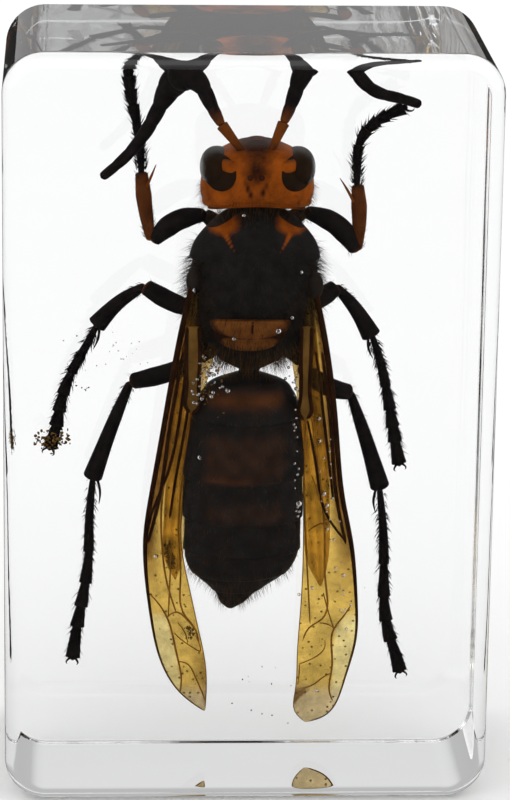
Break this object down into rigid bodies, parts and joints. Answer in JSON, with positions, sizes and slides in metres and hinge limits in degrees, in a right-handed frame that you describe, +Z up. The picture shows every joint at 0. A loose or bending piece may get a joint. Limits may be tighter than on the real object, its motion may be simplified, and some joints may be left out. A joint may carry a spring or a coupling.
{
  "type": "insect in resin block",
  "caption": "Clear rectangular resin block with a rounded front rim, standing on its short end, with a large hornet sealed inside, wings folded along the abdomen.",
  "frame": {"origin": "middle of the block's base, on the surface it stands on", "axes": "+Z up along the block's long side, -Y out of the front face that the insect's back looks through, +X to the right seen from the front"},
  "size_m": [0.04, 0.022, 0.063],
  "materials": {
    "clear_resin": "water-clear polyester casting resin, polished, see-through",
    "black_shell": "brown-black insect shell, half gloss, finely pitted",
    "orange_shell": "orange-brown insect shell, half gloss",
    "eye_lens": "dark brown compound eye, fine facets",
    "wing_film": "thin translucent amber wing film with dark brown veins",
    "body_hair": "short brown hair",
    "trapped_air": "small air bubbles sealed in the resin",
    "dust": "pale specks of dust sealed in the resin"
  },
  "bodies": {
    "root": {"resin_block": "clear_resin"}
  },
  "joints": []
}
